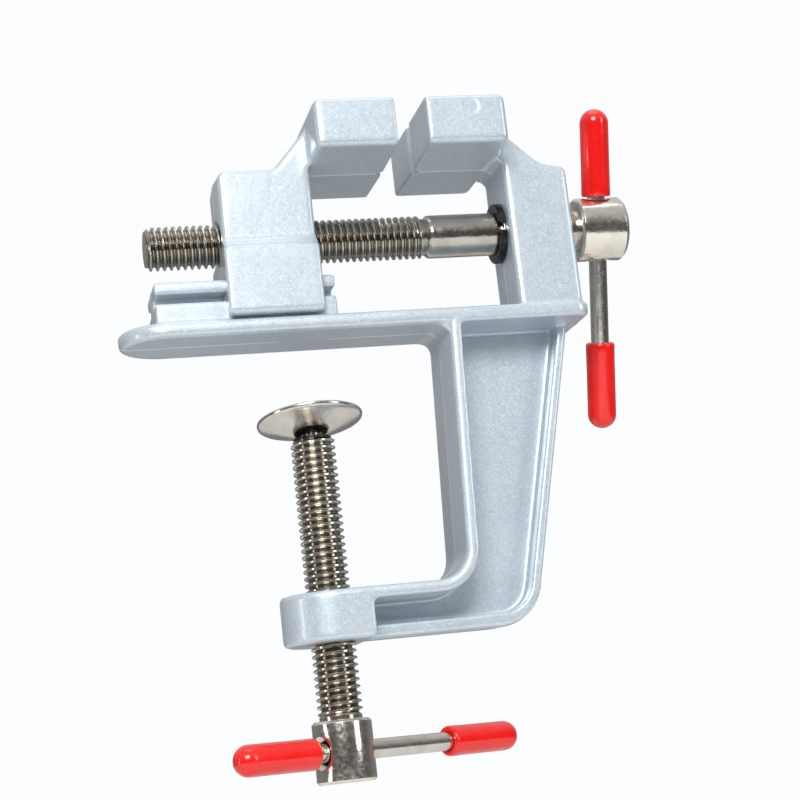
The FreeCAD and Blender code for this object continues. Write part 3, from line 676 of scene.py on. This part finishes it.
# ---- studio ---------------------------------------------------------------------------------
FLOOR_Z = -170.0
FLOOR_RADIUS = 420.0
ROOM_COLOUR = (0.97, 0.985, 1.0, 1.0)
ROOM_LEVEL = 0.09
ROOM_GRADIENTS = (("Y", -0.3, 0.6, 0.12), ("Z", 0.05, 0.8, 0.50))     # axis, start, end, gain
BACKDROP_LEVEL = 1.0
LIGHT_TARGET = (12.0, 0.0, -10.0)
LIGHTS = (                        # name, place, width, height, power in watts, colour
    ("key_softbox", (-215.0, -780.0, 370.0), 420.0, 320.0, 6.6, (1.0, 0.99, 0.975)),
    ("fill_softbox", (600.0, -520.0, 160.0), 200.0, 420.0, 1.2, (0.97, 0.985, 1.0)),
    ("side_strip", (-720.0, -150.0, -40.0), 90.0, 380.0, 0.55, (1.0, 0.99, 0.98)),
    ("top_softbox", (60.0, -60.0, 620.0), 420.0, 420.0, 0.8, (1.0, 1.0, 1.0)),
)
CAMERA_PLACE = (-60.08, -320.78, -78.40)
CAMERA_ANGLES = (101.441, 6.337, -12.215)     # degrees round x, y and z
CAMERA_LENS = 83.216
CAMERA_SENSOR = 36.0


def make_floor():
    disc = lathe([(0, 0), (0, FLOOR_RADIUS)], (0, 0, FLOOR_Z), (0, 0, 1))
    floor = shells_to_object("studio_floor", [disc])
    look = Look("pale_floor")
    tint = look.span(look.noise(60.0, 3.0), 0.3, 0.7, 0.0, 1.0)
    look.wire(look.blend(tint, FLOOR_DEEP, FLOOR_PALE), look.shader.inputs["Base Color"])
    look.put("Roughness", 0.7)
    look.bump(look.noise(3.0, 3.0), 0.05, 0.3)
    floor.data.materials.append(look.material)


def make_light(name, place, width, height, power, colour):
    data = bpy.data.lights.new(name, "AREA")
    data.shape = "RECTANGLE"
    data.size = width * MM
    data.size_y = height * MM
    data.energy = power
    data.color = colour
    light = new_object(name, data)
    light.location = Vector(place) * MM
    direction = (Vector(LIGHT_TARGET) - Vector(place)).normalized()
    light.rotation_euler = direction.to_track_quat("-Z", "Y").to_euler()


def make_world():
    """Pale backdrop for the camera; the room that lights the object is brighter behind and above."""
    world = bpy.data.worlds.new("studio_world")
    bpy.context.scene.world = world
    world.use_nodes = True
    nodes, links = world.node_tree.nodes, world.node_tree.links
    split = nodes.new("ShaderNodeSeparateXYZ")
    links.new(nodes.new("ShaderNodeTexCoord").outputs["Generated"], split.inputs["Vector"])
    levels = []
    for axis_name, start, end, gain in ROOM_GRADIENTS:
        ramp = nodes.new("ShaderNodeMapRange")
        ramp.interpolation_type = "SMOOTHSTEP"
        links.new(split.outputs[axis_name], ramp.inputs["Value"])
        for name, value in (("From Min", start), ("From Max", end), ("To Min", 0.0), ("To Max", gain)):
            ramp.inputs[name].default_value = value
        levels.append(ramp.outputs["Result"])
    total = nodes.new("ShaderNodeMath")
    for level, target in zip(levels, total.inputs):
        links.new(level, target)
    lit = nodes.new("ShaderNodeMath")
    links.new(total.outputs["Value"], lit.inputs[0])
    lit.inputs[1].default_value = ROOM_LEVEL
    seen = nodes.new("ShaderNodeMix")
    links.new(nodes.new("ShaderNodeLightPath").outputs["Is Camera Ray"], seen.inputs["Factor"])
    links.new(lit.outputs["Value"], seen.inputs["A"])
    seen.inputs["B"].default_value = BACKDROP_LEVEL
    background = nodes["Background"]
    background.inputs["Color"].default_value = ROOM_COLOUR
    links.new(seen.outputs["Result"], background.inputs["Strength"])


make_floor()
make_world()
for light in LIGHTS:
    make_light(*light)

# ---- camera ---------------------------------------------------------------------------------
camera_data = bpy.data.cameras.new("camera")
camera_data.lens = CAMERA_LENS
camera_data.sensor_width = CAMERA_SENSOR
camera_data.clip_start = 0.01
camera_data.clip_end = 50.0
camera = new_object("camera", camera_data)
camera.location = Vector(CAMERA_PLACE) * MM
camera.rotation_euler = [math.radians(angle) for angle in CAMERA_ANGLES]
bpy.context.scene.camera = camera
bpy.context.scene.view_settings.view_transform = "Standard"
